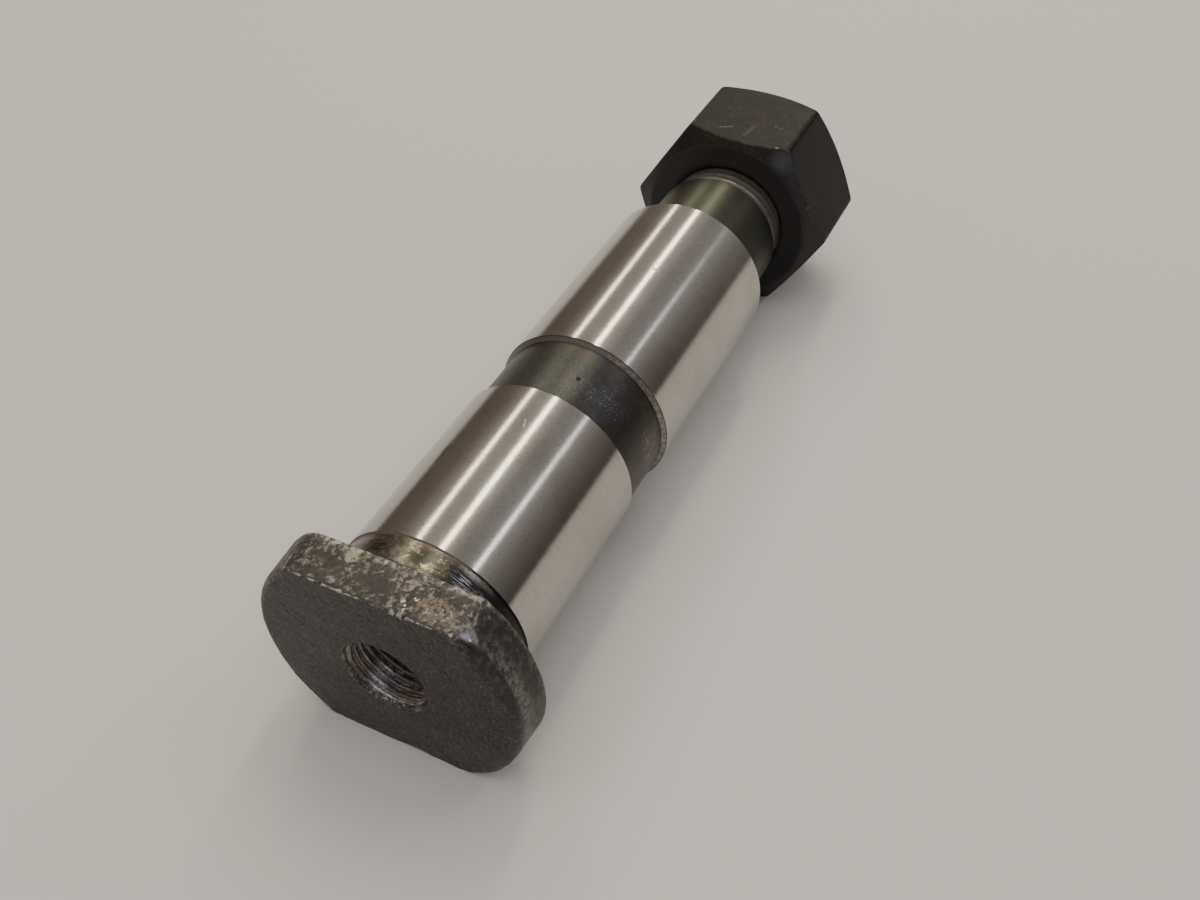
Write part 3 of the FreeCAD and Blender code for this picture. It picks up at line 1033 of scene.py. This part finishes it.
def forged_flats(metal):
    """What lies on the head's flats and rounded ends: rust, pale flecks, worn places and painted glints."""
    side = metal.step(metal.along, 0.35, 0.9)
    metal.paint((0.085, 0.074, 0.068), 0.8, side)
    shade = metal.speckle(0.4, 0.62, 1.5, seed=21, detail=5.0, rough=0.6)
    metal.paint((0.045, 0.041, 0.038), 0.8, side, shade)
    fleck = metal.grain(1.3, seed=22, detail=9.0, rough=0.72)
    on_upper = metal.step(metal.up, head_half_flats - 3.0, head_half_flats - 1.0)
    crowd = metal.math("ADD", 0.12, metal.both(on_upper, metal.speckle(0.36, 0.56, 3.2, seed=46)))
    metal.paint((0.25, 0.232, 0.205), 0.9, side, crowd, metal.step(fleck, 0.5, 0.57))
    metal.paint((0.39, 0.37, 0.335), 0.9, side, crowd, metal.step(fleck, 0.6, 0.66))
    near_side = metal.step(metal.across, -18.0, -19.5)
    band = metal.both(near_side, metal.step(metal.along, 1.9, 2.5), metal.step(metal.along, 6.4, 3.6))
    dark = metal.speckle(0.6, 0.47, 1.5, seed=80, detail=6.0, rough=0.65)
    metal.paint((0.03, 0.029, 0.029), 0.75, near_side, dark)
    cloud = metal.speckle(0.43, 0.55, 1.1, seed=30, detail=9.0, rough=0.75)
    cloud = metal.both(cloud, metal.step(metal.up, 19.5, 17.0))
    metal.paint((0.19, 0.178, 0.167), 0.8, band, cloud)
    worn = metal.patch(on_flat(3.3, -11.8), (2.9, 0, 0), (0, 5.2, 0), 0.5, waver=0.7, seed=45)
    mixed = metal.speckle(0.36, 0.58, 0.9, seed=44, detail=5.0)
    metal.paint((0.24, 0.2, 0.155), 0.85, worn, mixed)
    metal.paint((0.45, 0.41, 0.34), 0.8, worn, metal.speckle(0.55, 0.66, 0.7, seed=43))
    dots = metal.patch(on_flat(6.3, -4.2), (2.6, 0, 0), (0, 4.6, 0), 0.5, waver=0.5, seed=42)
    spots = metal.speckle(0.52, 0.6, 0.95, seed=41, detail=5.0, rough=0.6)
    metal.paint((0.36, 0.31, 0.28), 0.85, dots, spots)
    beige = metal.patch(on_flat(7.5, 7.8), (1.5, 0, 0), (0, 1.9, 0), 0.35, waver=0.6, seed=40)
    chips = metal.speckle(0.4, 0.47, 0.6, seed=39)
    metal.paint((0.42, 0.38, 0.28), 0.9, beige, chips)
    grime = metal.patch(on_flat(4.1, 0.6), (2.7, 0, 0), (0, 4.4, 0), 0.5, waver=0.6, seed=38)
    metal.paint((0.058, 0.056, 0.05), 0.85, grime)
    ends = [(8.9, -16.6, 21.4), (8.0, -17.8, 20.7), (6.0, -17.9, 20.6), (4.6, -18.0, 20.4)]
    ridge = metal.line(ends, 0.5, 0.3, 37)
    metal.paint((0.4, 0.38, 0.33), 0.8, ridge, metal.step(fleck, 0.4, 0.5))
    # Painted glints: near white spots on the upper flat near the front edge.
    broken = metal.speckle(0.46, 0.54, 0.35, seed=78, detail=2.0)
    for along, across, reach in ((2.9, -5.6, 0.4), (2.3, -6.1, 0.4), (1.5, -6.6, 0.55), (4.2, -7.2, 0.6)):
        glint = metal.patch(on_flat(along, across), (reach, 0, 0), (0, reach, 0), 0.5, waver=0.4, seed=36)
        metal.paint((0.95, 0.94, 0.92), 0.95, glint, broken)
    metal.raise_by(metal.both(side, metal.grain(0.7, seed=74, detail=4.0)), 0.09)


def forged_face(metal):
    """What lies on the head's front face: fine streaks, stains and cracks."""
    face = metal.step(metal.along, 0.5, 0.2)
    mottle = metal.grain(0.7, seed=79, detail=6.0, rough=0.7)
    brown = metal.speckle(0.48, 0.64, 6, seed=19, detail=3.0)
    metal.paint((0.064, 0.053, 0.051), 0.85, face, brown)
    stain = metal.patch((0, 11.5, -1), (0, 4.5, 0), (0, 0, 8.0), 0.8, waver=1.0, seed=35)
    metal.paint((0.085, 0.066, 0.06), 0.5, stain)
    metal.paint((0.085, 0.082, 0.08), 0.6, face, metal.step(metal.up, -7, -13))
    leftward = metal.step(metal.across, -8, 1)
    rightward = metal.step(metal.across, 1, -8)
    for part, seed, turn in ((leftward, 23, 33), (rightward, 72, 75)):
        streaks = metal.grain(0.28, (1, 9, 1), seed=seed, detail=3.0, warp=0.4, turn=turn)
        metal.paint((0.028, 0.026, 0.025), 0.75, face, part, metal.step(streaks, 0.46, 0.34))
        metal.paint((0.11, 0.105, 0.1), 0.6, face, part, metal.step(streaks, 0.58, 0.7))
        metal.raise_by(metal.both(face, part, streaks), 0.05)
    cracks = [[(-7.8, 21.8), (-11.5, 12.0), (-13.0, 11.5), (-18.2, 4.5)], [(19.4, 9.0), (16.0, 5.6)],
              [(12.1, 12.4), (9.8, 9.2)], [(4.4, 17.0), (-1.0, 16.3)]]
    for number, run in enumerate(cracks):
        crack = metal.line([(0, across, up) for across, up in run], 0.26, 0.25, 90 + number)
        crack = metal.both(crack, face)
        metal.paint((0.018, 0.016, 0.015), 0.75, crack)
        metal.raise_by(crack, -0.1)
    metal.paint((0.018, 0.018, 0.019), 0.6, face, metal.step(mottle, 0.5, 0.42))
    metal.paint((0.15, 0.15, 0.147), 0.6, face, metal.step(mottle, 0.54, 0.64))
    metal.raise_by(metal.both(face, mottle), 0.08)
    crumbs = metal.both(face, metal.speckle(0.72, 0.76, 0.4, seed=34, detail=1.0))
    metal.paint((0.3, 0.28, 0.25), 0.6, crumbs)


def forged_steel():
    """The head: dark forging scale with rust and grime, edges worn light, and painted glints and highlights.
    """
    metal = Metal("forged_steel", (0.05, 0.053, 0.052), 0.46, 0.4)
    metal.shader.inputs["Specular IOR Level"].default_value = 0.4
    metal.paint((0.036, 0.035, 0.034), 0.5, metal.speckle(0.5, 0.7, 0.8, seed=20, detail=5.0))
    forged_flats(metal)
    forged_face(metal)
    metal.raise_by(metal.grain(1.4, seed=24, detail=5.0), 0.1)
    near_rim = metal.both(metal.step(metal.across, -18.0, -19.5), metal.step(metal.along, 4.0, 3.0))
    edges = metal.both(metal.worn(), metal.speckle(0.4, 0.62, 0.9, seed=25))
    edges = metal.both(edges, metal.math("SUBTRACT", 1.0, near_rim))
    metal.paint((0.2, 0.18, 0.165), 0.75, edges)
    on_upper = metal.step(metal.up, head_half_flats - 1.4, head_half_flats - 0.7)
    dashes = metal.speckle(0.48, 0.58, 1.2, seed=75, detail=6.0, rough=0.65)
    metal.paint((0.6, 0.575, 0.52), 0.85, metal.worn(), dashes, on_upper)
    shiny_corner(metal)
    return metal.finish()


def shiny_corner(metal):
    """The head's upper near corner, worn light, with a painted bluish-white highlight and a painted white
    glint on it, and a dark line where it meets the face.
    """
    above = metal.step(metal.up, 15.0, 16.0)
    facet = metal.inside([(1.2, -15.8), (4.5, -17.6), (2.3, -20.3)], 0.35, 0.3, 33)
    rubbed = metal.speckle(0.34, 0.58, 0.6, seed=73, detail=7.0, rough=0.7)
    worn = metal.both(above, facet, rubbed)
    metal.paint((0.36, 0.345, 0.31), 0.9, worn)
    # Painted highlight: a bluish-white glow on the worn facet, with a painted white glint in it.
    highlight_core = metal.patch((1.9, -18.2, 20.1), (0.9, 0.2, 0), (0.3, -1.2, -0.9), 0.9, 2.0, 0.3, 29)
    metal.paint((0.5, 0.53, 0.66), 0.8, highlight_core)
    glint = metal.patch((1.9, -18.9, 19.6), (0.3, 0, 0), (0, -0.35, -0.3), 0.8, 2.0)
    metal.paint((1.0, 1.0, 1.0), 1.0, glint)
    metal.roughen(highlight_core, -0.15)
    under = metal.line([(0.5, -17.0, 20.9), (1.2, -19.6, 18.7)], 0.4, 0.2, 68)
    metal.paint((0.015, 0.017, 0.03), 0.85, under)


def on_nut(side, along, across):
    """A point of the texture space on one of the nut's flats."""
    turn = math.radians(nut_turn + 60 * side)
    place = Vector((along, across * math.cos(turn), across * math.sin(turn)))
    return tuple(place + nut_half_flats * Vector((0, -math.sin(turn), math.cos(turn))))


def black_oxide():
    """The nut: black oxide, scuffed on its flats and rubbed light on its edges, with painted shade on one
    flat and painted reflections on its chamfer.
    """
    metal = Metal("black_oxide", (0.029, 0.028, 0.024), 0.42, 0.3)
    metal.shader.inputs["Specular IOR Level"].default_value = 0.13
    metal.paint((0.038, 0.034, 0.028), 0.8, metal.speckle(0.4, 0.65, 7, seed=26))
    metal.paint((0.026, 0.026, 0.026), 0.7, metal.speckle(0.48, 0.66, 4, seed=32))
    metal.paint((0.025, 0.024, 0.023), 0.6, metal.speckle(0.45, 0.75, 0.5, seed=27, detail=4.0))
    metal.paint((0.054, 0.049, 0.041), 0.6, metal.speckle(0.52, 0.66, 1.1, seed=31, detail=6.0))
    # Painted shade: the next flat round towards -Y from the top is painted nearly black.
    out = Vector(on_nut(1, 0, 0)) / nut_half_flats
    shaded_right_flat = metal.vector("DOT_PRODUCT", metal.place, out)
    shaded_right_flat = metal.step(shaded_right_flat, nut_half_flats - 0.5, nut_half_flats - 0.15)
    metal.paint((0.008, 0.008, 0.008), 0.9, shaded_right_flat)
    from_axis = metal.vector("LENGTH", metal.vector("MULTIPLY", metal.place, (0, 1, 1)))
    cone = metal.math("MULTIPLY", metal.math("SUBTRACT", from_axis, nut_face_radius), nut_chamfer_slope)
    off_cone = metal.math("SUBTRACT", metal.math("SUBTRACT", metal.along, nut_start), cone)
    chamfer = metal.both(metal.step(metal.math("ABSOLUTE", off_cone), 0.4, 0.15),
                         metal.step(from_axis, nut_face_radius - 0.3, nut_face_radius + 1.2))
    # Painted reflection: the chamfer lighter and bluish on the -Y side, more so by the upper corner.
    metal.paint((0.052, 0.052, 0.055), 0.7, chamfer, metal.step(metal.across, -14.0, -16.0))
    corner_highlight = metal.patch((nut_start + 1.8, -13.5, 19.5), (3.5, 0, 0), (0, -3.6, -2.4), 0.9, 6.0)
    metal.paint((0.085, 0.086, 0.1), 0.8, chamfer, corner_highlight)
    bearing = metal.step(metal.along, nut_start + 0.3, nut_start + 0.1)
    metal.paint((0.041, 0.041, 0.044), 0.8, bearing)
    edges = metal.both(metal.step(metal.worn(), 0.5, 1.0), metal.speckle(0.42, 0.62, 1.6, seed=28))
    metal.paint((0.15, 0.138, 0.125), 0.5, edges)
    scuffs = [(0, [(164.0, 6.0), (165.6, 3.4)], 0.5, 0.3), (0, [(163.6, -0.8), (168.6, -1.7)], 1.0, 0.12),
              (0, [(170.7, -6.4), (170.4, -8.2)], 0.5, 0.25), (0, [(161.5, -9.8), (161.6, -10.4)], 0.35, 1.0),
              (0, [(164.3, 13.1), (163.9, 13.5)], 0.5, 0.6), (1, [(159.2, -3.0), (160.2, -2.0)], 0.3, 0.6)]
    rubbed = metal.speckle(0.36, 0.56, 0.7, seed=82, detail=4.0)
    for number, (side, run, width, strength) in enumerate(scuffs):
        points = [on_nut(side, along, across) for along, across in run]
        scuff = metal.line(points, width, 0.12, 80 + number)
        metal.paint((0.34, 0.31, 0.27), strength, scuff, rubbed)
    metal.raise_by(metal.grain(0.7, seed=29, detail=4.0), 0.03)
    return metal.finish()


# Camera, measured in the photograph's frame of 1200 by 900
camera_place = (-186.65, -93.28, 198.80)
camera_target = (-28.10, -8.79, 23.68)
camera_roll = -2.14
camera_focal_pixels = 1189.6
image_width = 1200
sensor_width = 36.0


def camera():
    """The photograph's camera."""
    data = bpy.data.cameras.new("camera")
    data.sensor_width = sensor_width
    data.lens = camera_focal_pixels / image_width * sensor_width
    data.clip_start = 0.01
    body = add_object("camera", data)
    place = Vector(camera_place) * MM
    look = (Vector(camera_target) * MM - place).to_track_quat("-Z", "Y").to_matrix().to_4x4()
    turn = Matrix.Rotation(math.radians(camera_roll), 4, "Z")
    body.matrix_world = Matrix.Translation(place) @ look @ turn
    bpy.context.scene.camera = body


# Lamps, given by the middle of each end and a width, and turned to face the pin
lamp_height = 1000.0
fill_height = 800.0


def lamp(name, start, end, width, radiance, colour, height=lamp_height):
    """A rectangular lamp whose length runs between two points at one height."""
    first = Vector((*start, height)) * MM
    last = Vector((*end, height)) * MM
    middle = (first + last) / 2
    ahead = (last - first).normalized()
    from_axis = middle - Vector((middle.x, 0, axis_height * MM))
    out = (from_axis - ahead * from_axis.dot(ahead)).normalized()
    data = bpy.data.lights.new(name, "AREA")
    data.shape = "RECTANGLE"
    data.size = (last - first).length
    data.size_y = width * MM
    data.energy = radiance * math.pi * data.size * data.size_y
    data.color = colour
    body = add_object(name, data)
    turned = Matrix((ahead, out.cross(ahead), out)).transposed()
    body.matrix_world = Matrix.Translation(middle) @ turned.to_4x4()
    return body


def lamps():
    """Three long ceiling lamps, which the journals mirror as streaks, and a soft fill."""
    warm = (1.0, 0.94, 0.72)
    cool = (0.95, 0.97, 1.0)
    lamp("left_tube", (300, 554), (2000, 1016), 95, 6.8, warm)
    lamp("middle_tube", (300, 50), (2000, 308), 85, 10.0, warm)
    lamp("right_tube", (250, -726), (1270, -712), 85, 2.2, cool)
    lamp("right_tube_near", (250, -719), (800, -712), 84, 2.2, cool, lamp_height - 10)
    fill = lamp("fill", (-700, 0), (700, 0), 1400, 0.55, (1.0, 0.98, 0.95), fill_height)
    fill.visible_glossy = False


def world_light():
    """A warm room whose brightness changes from one side of the pin over the top to the other.

    Towards both ends of the pin it turns plain.
    """
    horizon = math.pi / 2
    stops = [(-90, 0.15, 0.9), (-60, 0.23, 0.8), (-38, 0.5, 0.45), (2, 0.62, 0.35), (12, 0.39, 0.25),
             (22, 0.38, 0.2), (38, 0.5, 0.25), (62, 0.24, 0.35), (90, 0.08, 0.5)]
    world = bpy.data.worlds.new("room")
    world.use_nodes = True
    tree = world.node_tree

    def made(kind, settings, sources):
        """A node with its settings, fed by other nodes' outputs."""
        node = tree.nodes.new(kind)
        for name, value in settings.items():
            setattr(node, name, value)
        for socket, source in sources.items():
            tree.links.new(source, node.inputs[socket])
        return node

    def share_between(value, low, high):
        spread = made("ShaderNodeMapRange", {}, {"Value": value})
        spread.inputs["From Min"].default_value = low
        spread.inputs["From Max"].default_value = high
        return spread.outputs["Result"]

    place = made("ShaderNodeTexCoord", {}, {}).outputs["Generated"]
    parts = made("ShaderNodeSeparateXYZ", {}, {0: place}).outputs
    flipped = made("ShaderNodeMath", {"operation": "MULTIPLY"}, {0: parts["Y"]})
    flipped.inputs[1].default_value = -1.0
    angle = made("ShaderNodeMath", {"operation": "ARCTAN2"}, {0: flipped.outputs[0], 1: parts["Z"]})
    ramp = made("ShaderNodeValToRGB", {}, {"Fac": share_between(angle.outputs[0], -horizon, horizon)})
    along = made("ShaderNodeMath", {"operation": "ABSOLUTE"}, {0: parts["X"]})
    by_end = share_between(along.outputs[0], 0.7, 0.95)
    mix = made("ShaderNodeMix", {"data_type": "RGBA"}, {0: by_end, 6: ramp.outputs["Color"]})
    mix.inputs[7].default_value = (0.34, 0.315, 0.295, 1.0)
    tree.links.new(mix.outputs[2], tree.nodes["Background"].inputs["Color"])
    while len(ramp.color_ramp.elements) < len(stops):
        ramp.color_ramp.elements.new(0.5)
    for element, (degrees, radiance, warmth) in zip(ramp.color_ramp.elements, stops):
        element.position = degrees / 180 + 0.5
        element.color = (radiance, radiance * (1 - 0.24 * warmth), radiance * (1 - 0.4 * warmth), 1.0)
    bpy.context.scene.world = world


def floor():
    """A pale floor, tilted so that the nut's lowest corner and the head's lower flat both touch it."""
    nut_touch = nut_start + (nut_corner_radius - nut_face_radius) * nut_chamfer_slope
    slope = (axis_height - head_half_flats) / nut_touch
    half_width = 3.0
    mesh = bpy.data.meshes.new("floor")
    touch_x = (head_face_x + nut_touch) * MM
    corners = [(x * half_width, y * half_width) for x, y in ((-1, -1), (1, -1), (1, 1), (-1, 1))]
    points = [(x, y, (touch_x - x) * slope) for x, y in corners]
    mesh.from_pydata(points, [], [(0, 1, 2, 3)])
    material = bpy.data.materials.new("floor")
    material.use_nodes = True
    shader = material.node_tree.nodes["Principled BSDF"]
    shader.inputs["Base Color"].default_value = (0.8, 0.79, 0.77, 1.0)
    shader.inputs["Roughness"].default_value = 0.75
    shader.inputs["Specular IOR Level"].default_value = 0.2
    mesh.materials.append(material)
    ground = add_object("floor", mesh)


camera()
world_light()
lamps()
floor()
spring_pin([forged_steel(), collar_steel(), ground_steel(), relief_steel(), neck_steel(), thread_steel(),
            port_steel()])
hex_nut([black_oxide()])
